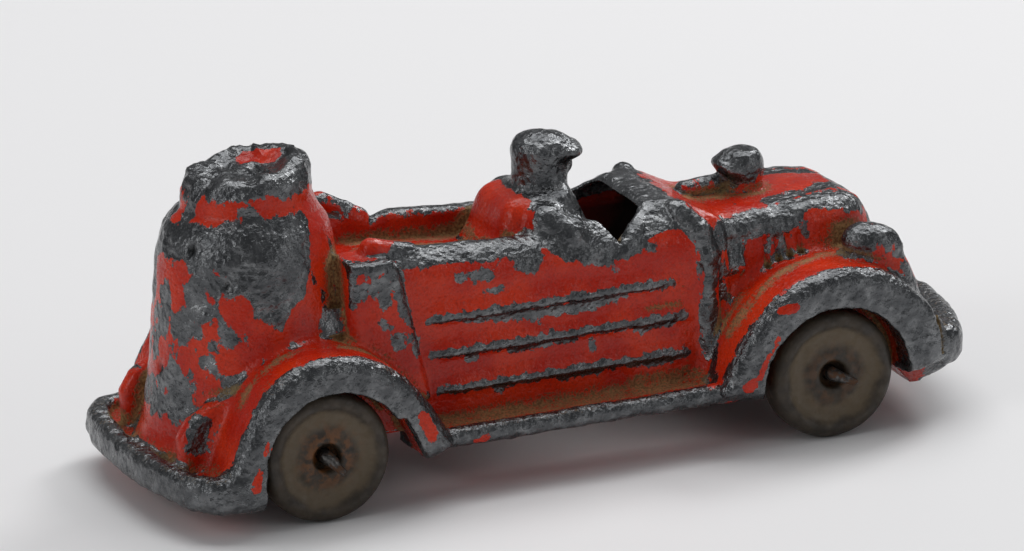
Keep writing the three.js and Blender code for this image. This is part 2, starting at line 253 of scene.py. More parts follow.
class Lumps:
    """Smooth random lumps, between -1 and 1, about one lattice step across."""

    SIZE = 32

    def __init__(self, seed):
        self.lattice = np.random.RandomState(seed).uniform(-1, 1, (self.SIZE,) * 3).astype(np.float32)

    def __call__(self, p, step):
        q = p / np.array(step, np.float32)
        cell = np.floor(q).astype(np.int64)
        t = (q - cell).astype(np.float32)
        t = t * t * (3 - 2 * t)
        total = np.zeros(len(p), np.float32)
        for corner in range(8):
            o = np.array([corner & 1, corner >> 1 & 1, corner >> 2 & 1])
            i = (cell + o) % self.SIZE
            weight = np.prod(np.where(o == 1, t, 1 - t), axis=1)
            total += self.lattice[i[:, 0], i[:, 1], i[:, 2]] * weight
        return total


# Side outlines, in X and Z.
rear_fender_side = Outline([
    (-37.4, 3), (-37, 5.3), (-35.9, 8.3), (-34.2, 11.8), (-32.2, 14.6), (-29, 16.3), (-25.8, 16.7),
    (-21.9, 15.9), (-18.3, 13.6), (-15.8, 10.4), (-13.9, 7.2), (-13.5, 5.7), (-14.6, 5.2), (-20, 3.4),
    (-28, 2.2)])
front_fender_side = Outline([
    (14.9, 6.2), (15.5, 8), (16.4, 10.2), (18.2, 12.9), (20.9, 15.3), (24.3, 16.9), (28.4, 17.4),
    (32.8, 16.4), (36.2, 13.9), (38.6, 11), (39.6, 8.6), (39.2, 6.6), (37.2, 5.9), (34, 5.2),
    (24, 3.6), (19, 5.2)])
cowl_side = Outline([
    (6.7, 21), (9.4, 23.7), (11.2, 24.9), (13.2, 25.1), (15.6, 24.2), (18, 22.9), (19, 22), (19, -8),
    (6.9, -8)], rounded=False)
hood_side = Outline([
    (13.5, -8), (37.6, -8), (37.4, 8), (37, 13), (36.5, 16.5), (35.7, 19.2), (34.5, 21.3),
    (33, 22.5), (30.5, 22.95), (18, 22.9), (13.5, 22.9)], rounded=False)
block_side = Outline([
    (-22, 12), (-13.7, 9), (-14.9, 15), (-16.5, 22.6), (-17.3, 23.6), (-21.7, 23.9)], rounded=False)
gusset_side = Outline([
    (-39.4, 4.6), (-33, 4.6), (-33, 12), (-36.4, 11.6), (-38.4, 10.4), (-39.6, 8.6)], rounded=False)
seat_side = Outline([
    (-4.6, 20), (-4, 22.6), (-3.3, 24.4), (-2.6, 25.3), (-1.6, 25.8), (0.6, 26.1), (4, 26), (5, 20)])
pod_side = Outline([
    (28.2, 14.4), (29.2, 16.6), (31.4, 17.8), (35.4, 17.4), (37.2, 15.2), (37.8, 11.6), (33, 12)])
boiler_side = Outline([
    (-3, -8), (10.9, -8), (11.2, 4), (10.9, 5.6), (10.2, 7.6), (9.8, 10.5), (9.5, 14.5), (9.2, 19),
    (8.9, 23), (8.65, 25), (8.1, 26.9), (7.1, 28.3), (6.5, 29.1), (6.45, 30.2), (6.3, 31.2), (5.8, 32.2),
    (4.9, 32.6), (4.1, 32.3), (3.2, 31.9), (-3, 31.8)], rounded=False)
# Plan outlines, in X and Y.
platform_plan = Outline([
    (-32, 15.8), (-38, 15.8), (-40.2, 14.9), (-41.7, 12.6), (-42.5, 9), (-42.8, 4), (-42.8, 0),
    (-42.4, -4.5), (-41.7, -9), (-40.6, -12.8), (-38.8, -15), (-36, -15.8), (-32, -15.8)], rounded=False)
bumper_plan = Outline([
    (38.4, -14.6), (40.8, -14.4), (42.3, -12.2), (43.6, -7.5), (44.5, -2.5), (44.5, 2.5), (43.6, 7.5),
    (42.3, 12.2), (40.8, 14.4), (38.4, 14.6), (39.7, 10), (40.6, 0), (39.7, -10)])


def hull(p):
    """The hose bed, cowl, hood and boiler, run on down below the ground."""
    x, s, z = folded(p).T
    crest = 23.35 - 0.065 * (np.clip(x, -18, 2) + 7)
    crest = crest - np.where(p[:, 1] > 0, 0.8, 0) * np.exp(-((x + 13.9) / 1.4) ** 2)
    bed = swept(arch_section(s, z, PANEL, crest, 3), x, -21.6, 16, 0.7)
    floor = 20.6 - 0.08 * (x + 8)
    trough = np.maximum.reduce([s - 5.25, floor - z, x - 0.5])
    bed = soft_cut(bed, trough, 1)
    cowl = swept(arch_section(s, z + 0.02 * s * s, PANEL - 0.15, 25, 4.4), cowl_side(x, z), -50, -0.5, 0.5)
    narrowing = 0.05 * np.clip(x - 29.5, 0, 9) ** 2
    side_lean = HOOD - 0.1 * (z - 16) - narrowing
    hood = arch_section(s, z + 0.012 * s * s, side_lean, 22.95, 2.4)
    hood = soft_cut(hood, -hood_side(x, z), 2.2)
    neck = swept(arch_section(s, z, 6, 20.6, 1.5), x, BOILER_X, -19, 0.5)
    axis_x = BOILER_X + 0.035 * (z - 15)
    slant = 0.14 * (x - axis_x) * np.clip((z - 28) / 2.5, 0, 1)
    boiler = boiler_side(np.hypot(x - axis_x, p[:, 1]), z - slant)
    solid = soft_join(bed, cowl, 0.8)
    notch = 21.3 + 1.05 * np.maximum(x - 7.2, 0) + 1.9 * np.maximum(7.2 - x, 0) - z
    solid = soft_cut(solid, notch, 0.5)
    return soft_joins(solid, (hood, 0.9), (neck, 0.9), (boiler, 0.8))


def paired(side, low, high, edge):
    """A shape: a side outline, swept outwards from low to high on both sides."""
    return lambda q: swept(side(q[:, 0], q[:, 2]), np.abs(q[:, 1]), low, high, edge)


def driver(q):
    """A plain seated figure: cap with a short peak, a simple face, shoulders and arms."""
    torso = egg(q, (2.4, 0, 21.6), (3.6, 6.6, 4.4))
    chest = rod(q, (2, 0, 22.5), (2.6, 0, 26.8), 3.4, 2.5)
    neck = rod(q, (2, 0, 25), (2.1, 0, 28.6), 2.7, 2.65)
    head = egg(q, (2.7, 0, 27.9), (2.7, 2.5, 2.9))
    nose = egg(q, (5.3, 0, 27.6), (0.6, 0.5, 0.8))
    cap = egg(q, (2.7, 0, 29.6), (3.3, 3.1, 1.8), 0.08)
    peak = egg(q, (4.5, 0, 29.5), (2.2, 2.8, 0.9), 0.15)
    total = soft_join(torso, chest, 1.8)
    front = (q[:, 0] - 6.4) * 0.88 + (q[:, 2] - 22.6) * 0.47
    total = soft_cut(total, -front, 0.6)
    total = soft_joins(total, (neck, 0.8), (head, 0.6), (nose, 0.4), (cap, 0.5), (peak, 0.5))
    for hand in (-1, 1):
        arm = soft_join(rod(q, (0.6, hand * 5.2, 23.6), (2.4, hand * 6.6, 22.6), 2, 1.7),
                        rod(q, (2.4, hand * 6.6, 22.6), (6.6, hand * 5.4, 21.6), 1.6, 1.2), 0.6)
        total = soft_join(total, arm, 0.8)
    return total


def bell(q):
    """A bell with its mouth tipped back, on a thick stem, and the lump of its bracket behind."""
    total = egg(q, (23.9, 0, 25.1), (2.25, 2.2, 1.7), 0.3)
    lip = egg(q, (22.8, 0, 24.6), (2.1, 2.3, 0.9), 0.45)
    stem = rod(q, (24, 0, 22), (24, 0, 24.9), 2.05, 2)
    bracket = rod(q, (17.8, 0, 23), (21, 0, 23.3), 1, 0.9)
    total = soft_joins(total, (lip, 0.5), (stem, 0.7))
    total = soft_cut(total, 26.6 - q[:, 2], 0.5)
    return soft_join(total, bracket, 0.6)


def headlight(q):
    """A bullet lamp on a tapering pod, on each front fender."""
    mirrored = folded(q)
    lamp = egg(mirrored, (33.4, 10.4, 18.1), (3.4, 2.2, 2.1), 0.3)
    lamp = np.maximum(lamp, mirrored[:, 0] + 0.3 * (mirrored[:, 2] - 18) - 36)
    pod = paired(pod_side, 8, 12.3, 1.4)(q)
    return soft_join(pod, lamp, 0.5)


# Each ridge: its rear end, its front end and the height of its crest.
RIDGES = [(-13.7, 12.3, 16.75), (-13.5, 13.7, 13.15), (-12.7, 13.9, 9.4)]
RIB_PATH = [(16.15, 8.7, 5.9), (16.15, 8.8, 19), (15.6, 8.3, 21.5), (14.1, 7, 23.2), (13.1, 5.2, 23.2)]


def side_relief(q):
    """The panel's three ridges, the door rib that climbs over the cowl, and the block by the boiler."""
    mirrored = folded(q)
    total = paired(block_side, 5.2, PANEL + 0.7, 0.7)(q)
    x, s, z = mirrored.T
    for rear, front, height in RIDGES:
        fade = 0.3 * np.clip(np.abs(x - (rear + front) / 2) - (front - rear) / 2 + 1.6, 0, 3)
        out = s - PANEL - 0.62 + fade
        above, below = (out + 0.42 * (z - height)) * 0.92, (out - 1.5 * (z - height)) * 0.55
        total = np.minimum(total, np.maximum.reduce([above, below, PANEL - 1.5 - s, z - height - 2.5]))
    for a, b in zip(RIB_PATH, RIB_PATH[1:]):
        total = soft_join(total, rod(mirrored, a, b, 1.15), 0.4)
    return total


def running_board(q):
    """The board, its thick rounded edge, and the fine ribs across its tread."""
    x, s, z = folded(q).T
    tread = 0.10 * np.sin(x * 2 * math.pi / 1.15)
    top = 6.55 + np.clip(s - 10, 0, 2.6) / 2.6 * tread
    board = swept(np.maximum(z - top, BODY_BOTTOM - z), s, 6.5, BOARD - 0.8, 0.3)
    edge = np.hypot(s - BOARD + 1, z - 6.15) - 1
    board = soft_join(board, edge, 0.4)
    return np.maximum(board, np.abs(x - 1) - 16.4)


def bumper(q):
    return swept(bumper_plan(q[:, 0], q[:, 1]), q[:, 2], 5.3, 9.6, 1.6)


def bumper_web(q):
    """The low shelf that ties the bumper to the nose of the hood."""
    x, y, z = q.T
    plan = swept(np.maximum(x - 42, 35 - x), np.abs(y), -20, 12, 0.5)
    return plan + np.maximum.reduce([z - 7.2, 5.3 - z, 0 * z])


def bumper_groove(q):
    """The gap behind the bumper, which stops where the bumper flows into the fender."""
    gap = np.abs(bumper_plan(q[:, 0], q[:, 1]) - 0.35) - 0.3
    return np.maximum.reduce([gap, 7.2 - q[:, 2], q[:, 0] - 41.5])


# Nicks in the rim of the rear step, by X and Y.
NOTCHES = [(-41.1, 10), (-41.2, 8.4), (-41.3, 6.8), (-41.4, 3.8), (-41.4, 0.7), (-40.6, -1.2)]


def platform(q):
    """The rear step, with a raised rim, a floor and the gussets that brace the boiler."""
    x, y, z = q.T
    plan = platform_plan(x, y)
    step = swept(plan, z, 2.65, 6.2, 1.2)
    inner = np.maximum(plan + 2.3, 5 - z)
    step = soft_cut(step, inner, 0.8)
    for nx, ny in NOTCHES:
        step = soft_cut(step, rod(q, (nx - 0.3, ny, 6.3), (nx + 0.9, ny - 0.4, 6.1), 0.34), 0.25)
    gussets = paired(gusset_side, 7.1, 9.1, 0.8)(q)
    return soft_join(step, gussets, 0.9)


def wheel_arches(q):
    """The open arches over the wheels, and the cut under the rear fender's tail."""
    x, s, z = folded(q).T
    arches = []
    for centre, height, radius in ((27.1, 5.9, 7.8), (-25.9, 5.8, 7.35)):
        arch = np.hypot(x - centre, np.maximum(z - height, 0)) - radius
        arches.append(np.maximum(arch, EAR - s))
    tail = np.maximum.reduce([(x + 17.6) * 0.9 + (z - 7.4) * 0.43, z - 9.6, -21 - x, EAR - s])
    return np.minimum.reduce([*arches, tail])


BORE_RADIUS = 0.78


def openings(q):
    """The cockpit under the cowl, and the hollows between each pair of wheels."""
    x, y, z = q.T
    s = np.abs(y)
    cockpit = np.maximum(swept(arch_section(s, z, 7.2, 23.6, 3), x, 5.9, 13.5, 0.5), 14 - z)
    hollows = [np.maximum(np.hypot(x - at, np.maximum(z - 6.2, 0)) - radius, s - EAR + WALL)
               for at, radius in ((FRONT_X, 8.9), (REAR_X, 6.7))]
    bores = [np.hypot(x - at, z - AXLE_Z) - BORE_RADIUS for at in (FRONT_X, REAR_X)]
    under = np.maximum.reduce([-21 - x, x + 16.4, z - 6.6, s - 11])
    return cockpit, np.minimum.reduce([*hollows, *bores, under])


LOUVRES = [23.1, 24.3, 25.5, 26.7]


def louvres(q):
    """The upright slits in the side of the hood."""
    return np.minimum.reduce([rod(folded(q), (x, 8, 15.9), (x, 7.75, 19.2), 0.34) for x in LOUVRES])


def hose_roll(side, rise):
    """The rounded end that rises behind the hose bed on each side."""
    return lambda q: rod(q, (-14.6, side * 6.4, 23.2), (-18.4, side * 6.8, rise), 1.1)


BOX_SPARE = 2.5    # how far outside its box a part is still worked out
# What is joined on, in order: the box it lies in, its fillet and its shape; True means it is cut away.
PARTS = [
    ((-42.5, -16, 2.4), (-31, 16, 13), 1, platform),
    ((-36, -16, 2), (-13, 16, 17), 1.1, paired(rear_fender_side, 6.6, FENDER, 1.65)),
    ((15, -16, 3), (40, 16, 18), 1.1, paired(front_fender_side, 6.6, FENDER, 1.65)),
    ((-16, -15, 5), (18, 15, 7.5), 0.5, running_board),
    ((-22, -11, 5), (18, 11, 25.5), 0.45, side_relief),
    ((28, -13, 11), (38, 13, 21), 0.8, headlight),
    ((-4, -4, 19), (6, 4, 27), 1, paired(seat_side, -9, 5, 2.2)),
    ((-3, -9, 18), (9, 9, 32), 0.8, driver),
    ((16, -3, 21), (27, 3, 28), 0.5, bell),
    ((38, -15, 5), (45, 15, 10), 0.3, bumper),
    ((34, -13, 5), (43, 13, 8), 0.6, bumper_web),
    ((35, -16, 6), (42, 16, 15), 0.3, bumper_groove, True),
    ((-20, -9, 22), (-14, 9, 27), 0.7, hose_roll(1, 25.3)),
    ((-20, -9, 22), (-14, 9, 27), 0.7, hose_roll(-1, 24.3)),
    ((-36, -17, -1), (36, 17, 14), 0.35, wheel_arches, True),
    ((22, -9, 15), (28, 9, 20), 0.2, louvres, True),
]


def casting(p):
    """Distance to the finished casting, and how much nearer its inner wall is than its outer one."""
    main = hull(p)
    body = np.maximum(main, BODY_BOTTOM - p[:, 2])
    for low, high, fillet, shape, *cut in PARTS:
        near = np.all((p > np.array(low) - BOX_SPARE) & (p < np.array(high) + BOX_SPARE), axis=1)
        if near.any():
            change = soft_cut if cut else soft_join
            body[near] = change(body[near], shape(p[near]), fillet)
    cockpit, hollows = openings(p)
    body = soft_cut(body, cockpit, 0.5)
    inner = np.minimum(main + WALL, hollows)
    return np.maximum(body, -inner), body + inner


def skin(shape, low, high, step):
    """Draws a closed skin of quads over a distance shape: one point in each cell that the surface cuts."""
    low, high = np.array(low, float), np.array(high, float)
    counts = np.ceil((high - low) / step).astype(int) + 1
    axes = [low[i] + step * np.arange(counts[i]) for i in range(3)]
    coarse = 4
    picks = [np.arange(0, n + coarse, coarse) for n in counts]
    coarse_points = np.stack(np.meshgrid(*[low[i] + step * picks[i] for i in range(3)], indexing="ij"),
                             axis=-1).astype(np.float32)
    rough = shape(coarse_points.reshape(-1, 3)).reshape(coarse_points.shape[:3])
    nearest = np.ix_(*[np.round(np.arange(n) / coarse).astype(int) for n in counts])
    field = rough[nearest].astype(np.float32)
    near = np.abs(field) < 2.4 * coarse * step * 0.5 + 0.8
    index = np.argwhere(near)
    points = (low + index * step).astype(np.float32)
    values = np.concatenate([shape(chunk) for chunk in np.array_split(points, 12)])
    field[near] = values
    field[(field < 1e-5) & (field > -1e-5)] = 1e-5
    inside = field < 0

    corners = np.array([[c & 1, c >> 1 & 1, c >> 2 & 1] for c in range(8)])
    span = tuple(n - 1 for n in counts)
    total = np.zeros(span, np.int8)
    for cx, cy, cz in corners:
        total += inside[cx:cx + span[0], cy:cy + span[1], cz:cz + span[2]]
    cells = np.argwhere((total > 0) & (total < 8))
    at = np.stack([field[tuple((cells + c).T)] for c in corners], axis=1)
    sums = np.zeros((len(cells), 3))
    hits = np.zeros(len(cells))
    for a in range(8):
        for bit in (1, 2, 4):
            b = a | bit
            if a & bit:
                continue
            cut = (at[:, a] < 0) != (at[:, b] < 0)
            t = np.where(cut, at[:, a] / np.where(cut, at[:, a] - at[:, b], 1), 0)
            spot = corners[a] + t[:, None] * (corners[b] - corners[a])
            sums += np.where(cut[:, None], spot, 0)
            hits += cut
    vertices = low + step * (cells + sums / hits[:, None])
    number = np.full(span, -1, np.int64)
    number[tuple(cells.T)] = np.arange(len(cells))

    quads = []
    for axis in range(3):
        along = np.eye(3, dtype=int)[axis]
        b, c = [np.eye(3, dtype=int)[(axis + i) % 3] for i in (1, 2)]
        first = inside[tuple(slice(0, counts[i] - along[i]) for i in range(3))]
        second = inside[tuple(slice(along[i], counts[i]) for i in range(3))]
        edges = np.argwhere(first != second)
        keep = np.all((edges - b - c >= 0) & (edges < np.array(span)), axis=1)
        edges = edges[keep]
        ring = [edges - b - c, edges - c, edges, edges - b]
        quad = np.stack([number[tuple(r.T)] for r in ring], axis=1)
        flip = ~first[tuple(edges.T)]
        quad[flip] = quad[flip][:, ::-1]
        quads.append(quad)
    quads = np.concatenate(quads)
    return vertices.astype(np.float32), quads[(quads >= 0).all(1)]


def slope(shape, p, reach):
    """The unit normal of a distance shape at the points."""
    rows = []
    for axis in range(3):
        step = np.zeros(3, np.float32)
        step[axis] = reach
        rows.append(shape(p + step) - shape(p - step))
    n = np.stack(rows, axis=1)
    return n / np.maximum(np.linalg.norm(n, axis=1), 1e-6)[:, None]


def settle(shape, p, times=2):
    """Moves points onto the surface of a distance shape."""
    for _ in range(times):
        p = p - np.clip(shape(p), -0.3, 0.3)[:, None] * slope(shape, p, 0.04)
    return p.astype(np.float32)


def make_object(name, vertices, faces):
    """An object in the frame, from points in millimetres and faces of four corners each."""
    mesh = bpy.data.meshes.new(name)
    placed = (np.asarray(vertices) + np.array([MIDDLE, 0, 0])) * MM
    mesh.vertices.add(len(placed))
    mesh.vertices.foreach_set("co", placed.astype(np.float32).ravel())
    mesh.loops.add(faces.size)
    mesh.loops.foreach_set("vertex_index", faces.astype(np.int32).ravel())
    mesh.polygons.add(len(faces))
    mesh.polygons.foreach_set("loop_start", np.arange(0, faces.size, 4, dtype=np.int32))
    mesh.update(calc_edges=True)
    mesh.validate()
    mesh.polygons.foreach_set("use_smooth", [True] * len(mesh.polygons))
    return new_object(name, mesh)


def plain_mesh(made):
    """An object's mesh, as its modifiers leave it."""
    return bpy.data.meshes.new_from_object(made.evaluated_get(bpy.context.evaluated_depsgraph_get()))


def paint_points(made, name, values):
    """Keeps one number for each point, for the finish to read."""
    attribute = made.data.attributes.new(name, "FLOAT", "POINT")
    attribute.data.foreach_set("value", np.asarray(values, np.float32))


def casting_distance(p):
    return casting(p)[0]


GRID = 0.3
MOST_TRIANGLES = 185000
points, faces = skin(casting_distance, (-43.8, -16.6, 1.9), (45.6, 16.6, 34.4), GRID)
points = settle(casting_distance, points)

# Bare metal: the paint is gone from what hands and floors touch first. Each line is a radius and the
# places it runs through; both sides have the same.
BARE_LINES = [
    # rails of the hose bed, and chips under them
    (1.65, (-15.2, 7.6, 23.6), (-8, 7.6, 23.3), (-1, 7.6, 22.6)), (0.9, (-3.4, 9, 21), (-2.2, 9, 20.9)),
    (0.5, (-10.1, 9, 20.7), (-9.8, 9, 20.6)), (0.6, (-8.2, 9, 20.6), (-7.1, 9, 20.4)),
    (0.4, (-7.2, 9, 18.8), (-6, 9, 19.1)),
    # the notch beside the driver and the rim of the cowl
    (1.5, (0.6, 8.3, 22.3), (5, 8.5, 21)), (1.3, (6, 8.6, 20.9), (8.6, 8.6, 21.5), (10.4, 8.3, 23.4)),
    (0.3, (6.3, 9, 20), (6.3, 9, 19.2)), (0.3, (10.1, 9, 21.4), (10.2, 9, 20.4)),
    (1.9, (12.4, 0, 25.4), (12.2, 6, 25), (11.6, 7.8, 23.9)), (1.2, (14, 2, 24.8), (14.4, 6.6, 23.8)),
    # the door rib, over the cowl's shoulder and down to the board
    (1.25, (13.2, 7.6, 24.2), (14.9, 8.7, 22.6), (16.2, 9.4, 21), (16.2, 10, 18.4)),
    (0.85, (16.2, 10, 18.4), (15.9, 9.9, 13.8), (15.7, 9.9, 10.1)),
    (0.7, (15.7, 9.9, 10.1), (15.4, 11.4, 7.6), (15.4, 13, 7)),
    (0.45, (17.3, 8.4, 21), (17.3, 8.9, 19), (17.6, 8.9, 14.6)),
    # crests of the panel's ridges, and where the paint has lifted under them
    (0.55, (-13.4, 9.5, 16.85), (12, 9.5, 16.85)), (0.55, (-13.2, 9.5, 13.25), (13.4, 9.5, 13.25)),
    (0.55, (-12.4, 9.5, 9.5), (13.6, 9.5, 9.5)),
    (0.65, (-8.6, 9.2, 16.5), (-4.5, 9.1, 16.1), (0.8, 9.1, 15.8), (3, 9.1, 15.9), (7, 9.2, 16.5)),
    (0.35, (-2, 9, 15.7), (-1.8, 9, 15)), (0.3, (5.5, 9, 16), (5.6, 9, 15.6)),
    (0.55, (-9.6, 9.1, 12.8), (-8.8, 9.1, 12.3)), (0.6, (-5, 9.2, 12.9), (1.4, 9.2, 12.7)),
    (0.33, (3.3, 9, 12.2), (3.6, 9, 11.4)), (0.65, (7, 9.3, 13.2), (9.6, 9.2, 12.8), (12, 9.2, 13)),
    (0.5, (-6.8, 9.2, 9.3), (-6.2, 9.2, 9)), (0.5, (0.2, 9.2, 9.1), (4.4, 9.2, 9)),
    (0.5, (8, 9.3, 9.3), (10.6, 9.2, 8.9), (12.4, 9.3, 9.2)), (0.25, (9.6, 9, 8.6), (9.6, 9, 7.4)),
    # the block by the boiler
    (1, (-21.4, 9.4, 23.4), (-18.7, 9.4, 23.5), (-16.4, 9, 23)),
    (0.95, (-16.5, 9.4, 22.5), (-16.6, 9.6, 20.2)),
    (0.6, (-16.5, 9.6, 20.2), (-15.9, 9.4, 17.5), (-15.1, 9.3, 14.4)),
    (0.55, (-21.5, 9.6, 22.5), (-21.6, 9.6, 19.8)), (0.5, (-19.2, 9.7, 22.2), (-19.3, 9.7, 20.9)),
    (0.6, (-17.3, 9.7, 15.6), (-17, 9.7, 14.9)), (0.7, (-18.3, 9.7, 21.4), (-18.2, 9.7, 19.4)),
    (0.6, (-20.4, 9.7, 21.4), (-20.6, 9.7, 20.4)), (0.45, (-18.6, 9.7, 17.6), (-17.8, 9.7, 17)),
    # the running board's edge
    (1.5, (-13.4, 14.4, 5.7), (14.6, 14.4, 5.7)), (1.2, (-13, 13.8, 6.6), (13, 13.6, 6.6)),
    (0.9, (2.6, 12.9, 6.9), (8.2, 12.9, 6.9)),
    # hood: its shoulders, a rubbed stripe across the top, runs below, and the edge of the nose
    (1.5, (18.6, 8, 20.7), (21.5, 7.2, 20.8), (26, 6.8, 21.2), (30, 6, 21.9), (33.4, 5.6, 21.2)),
    (1, (24.8, 4.8, 22.5), (29.6, 3.6, 22.8), (33, 2.4, 22.6)), (0.5, (20, 7.9, 19.6), (20.1, 7.9, 18.4)),
    (0.32, (23.2, 7.7, 19.5), (23.2, 7.7, 18.5)), (0.32, (24.6, 7.7, 19.3), (24.6, 7.7, 17.9)),
    (0.28, (27.2, 7.7, 20), (27.3, 7.7, 19.2)), (0.55, (29.2, 3.5, 22.9), (31, 2.2, 22.9)),
    (0.35, (20.6, 4.8, 22.8), (21.2, 4.8, 22.8)),
    (0.75, (33.4, 0, 22.5), (34.6, 3.4, 21.4), (35.6, 5.4, 19)),
    # lamps, bell, bracket and the platform's gussets
    (2.15, (31.3, 10.6, 18.9), (35.6, 10.4, 18.1)), (2.9, (22.6, 0, 25.4), (24.6, 0, 26)),
    (1.9, (24, 0, 25), (24, 0, 24)), (0.9, (17.8, 0, 23.6), (21.5, 0, 23.8)),
    (1.1, (-38.1, 9, 8.2), (-37.6, 9, 9.6), (-37.1, 8.7, 10.4)),
]
# Paint that has stayed inside those worn parts.
KEPT_LINES = [
    (0.4, (20.7, 15.9, 11.3), (19.7, 15.9, 9.5), (18.8, 15.9, 8)),
    (0.42, (17.9, 15.8, 7.4), (17.4, 15.8, 7.1)), (0.25, (21, 15.6, 14.3), (22.5, 15.7, 14.6)),
    (0.5, (-16.9, 15.8, 9.4), (-16.2, 15.8, 7.5)), (0.4, (-32.7, 15.8, 9.3), (-33.1, 15.8, 8.4)),
    (0.4, (-33.8, 15.8, 6.6), (-34.5, 15.8, 5.2)), (0.3, (-10.8, 14.6, 5.6), (-9.4, 14.6, 5.7)),
    (0.4, (9, 12.7, 7.1), (13.4, 12.3, 7.1)), (0.45, (28, 7.4, 20.8), (29.4, 7.3, 20.9)),
    (0.7, (14.4, 3.6, 24.6), (15.6, 3.2, 24)), (0.9, (-37, 6.9, 11.6), (-36.2, 8.6, 11.6)),
    (0.45, (-0.8, 8.8, 21.9), (-0.6, 8.8, 21.2)),
]
# How far down the boiler's bare band reaches, by the angle from the right, in degrees towards the front.
BOILER_BARE_DOWN_TO = [
    (-180, 23), (-150, 24.2), (-120, 23.6), (-90, 24.9), (-60, 24.7), (-45, 24.6), (-26, 23.3), (-17, 21.6),
    (-9, 19), (3, 18.3), (11, 20.6), (20, 21), (25, 24), (31, 26.2), (38, 28.6), (70, 30), (120, 27),
    (150, 24.6), (180, 23)]


def along_lines(p, lines):
    """How far each point is inside the widest of some painted or rubbed lines, in millimetres."""
    mirrored = folded(p)
    depth = np.full(len(p), -9, np.float32)
    for width, *places in lines:
        for a, b in zip(places, places[1:]):
            depth = np.maximum(depth, -rod(mirrored, a, b, width))
    return depth


def worn_depth(p):
    """Distance inside the worn-off parts: above zero the metal is bare, below zero it is painted."""
    x, y, z = p.T
    s = np.abs(y)
    depth = along_lines(p, BARE_LINES)
    figure = np.minimum.reduce([x + 0.35 + 0.3 * np.clip(s - 4, 0, 4) + np.clip(z - 25.6, 0, 1) * 1.4,
                                8 - x, z - 21.6, 9 - s])
    lump = np.where(y > 0, -rod(p, (-17.9, 6.6, 25.4), (-15.6, 6.4, 24.6), 1), -9)
    rear_lip = np.minimum(s - 14.2, 17.5 - z) - 20 * np.clip(-38 - x, 0, 1) - 20 * np.clip(x + 13.4, 0, 1)
    front_lip = s - 14.2 + 0.5 * np.clip(x - 31.5, 0, 6) - 20 * np.clip(14.4 - x, 0, 1)
    front_lip = np.minimum(front_lip, 18.6 - z)
    rim = np.minimum(platform_plan(x, y) + 1.75, 7.6 - z) - 20 * np.clip(x + 32, 0, 1)
    bumper = np.minimum(0.9 - bumper_plan(x, y), 10.6 - z)
    depth = np.maximum.reduce([depth, figure, lump, rear_lip, front_lip, rim, bumper])

    around = np.degrees(np.arctan2(x - BOILER_X, -y))
    radius = np.hypot(x - BOILER_X, y)
    on_boiler = np.minimum(10.2 - radius, z - 7.5)
    angles, heights = np.array(BOILER_BARE_DOWN_TO, float).T
    ragged = 0.5 * Lumps(31)(p, 1.9)
    upper_edge = 28.5 + 0.5 * np.cos(np.radians(around * 2))
    middle = np.minimum(z - np.interp(around, angles, heights), upper_edge - z)
    collar = z - 30.75 - 0.7 * ragged
    mottle = 1.2 * Lumps(32)(p, (1.7, 1.7, 2.6)) + 0.5 * Lumps(33)(p, 0.9) - 0.12
    mottle = mottle - 0.010 * np.clip(around + 15, 0, 200) + 0.25 * np.clip(-around - 50, 0, 40) / 40
    mottle = mottle + 0.12 * np.clip(15 - z, 0, 3) * (around < 20)
    boiler = np.maximum.reduce([np.where(z < 28, middle, np.minimum(middle, 1.5)), collar, mottle])
    depth = np.maximum(depth, np.minimum(boiler, np.clip(on_boiler, -1, 9) * 3))
    kept = along_lines(p, KEPT_LINES)
    kept = np.maximum(kept, -rod(p, (-27.2, 2.6, 32.4), (-25.4, 1.4, 32.6), 1))
    return np.where(kept > -0.4, np.minimum(depth, -0.35 - 1.6 * kept), depth)


# Dirt that has settled in the corners and was never wiped out.
DIRT_LINES = [
    (1.5, (-16.2, 4.7, 21.2), (-4.6, 4.7, 20.6)), (1.7, (-16, 1.5, 21.4), (-5, 1.5, 20.8)),
    (1.6, (-20.6, 3, 21.8), (-20.4, 5.4, 22.6)), (1.3, (-4.2, 2, 21.2), (-4, 4.8, 21.4)),
    (1.7, (-13, 10.2, 6.6), (14.2, 10.2, 6.8)), (0.2, (-13, 9, 17.5), (2.4, 9, 17.5)),
    (0.2, (-13, 9, 13.9), (-3, 9, 14)), (0.2, (-12.4, 9, 10.2), (13, 9, 10.3)),
    (0.45, (13.5, 9, 8), (13.4, 9, 16.4)), (0.8, (9.4, 9, 14.6), (13, 9, 14.6)),
    (0.8, (8, 9, 7.6), (13.6, 9, 7.6)),
    (1.2, (17.4, 11.6, 11.6), (19.4, 11.6, 14.4), (22.2, 11, 16.4), (25.8, 10.4, 17.4), (29, 9.4, 17.8)),
    (1, (29.4, 8.8, 18.6), (31.4, 8.6, 19.6)), (1.5, (17.8, 2, 23), (21.6, 1.4, 22.9)),
    (1, (-20.8, 6, 13), (-20.8, 6, 23)),
    (1.2, (-34, 11.2, 12.4), (-29.6, 11, 15.8), (-22, 11, 15.8), (-17, 10.6, 12), (-14.6, 10.4, 8.4)),
    (0.9, (-36.6, 7.2, 12.2), (-32.8, 9.4, 13.2)),
]


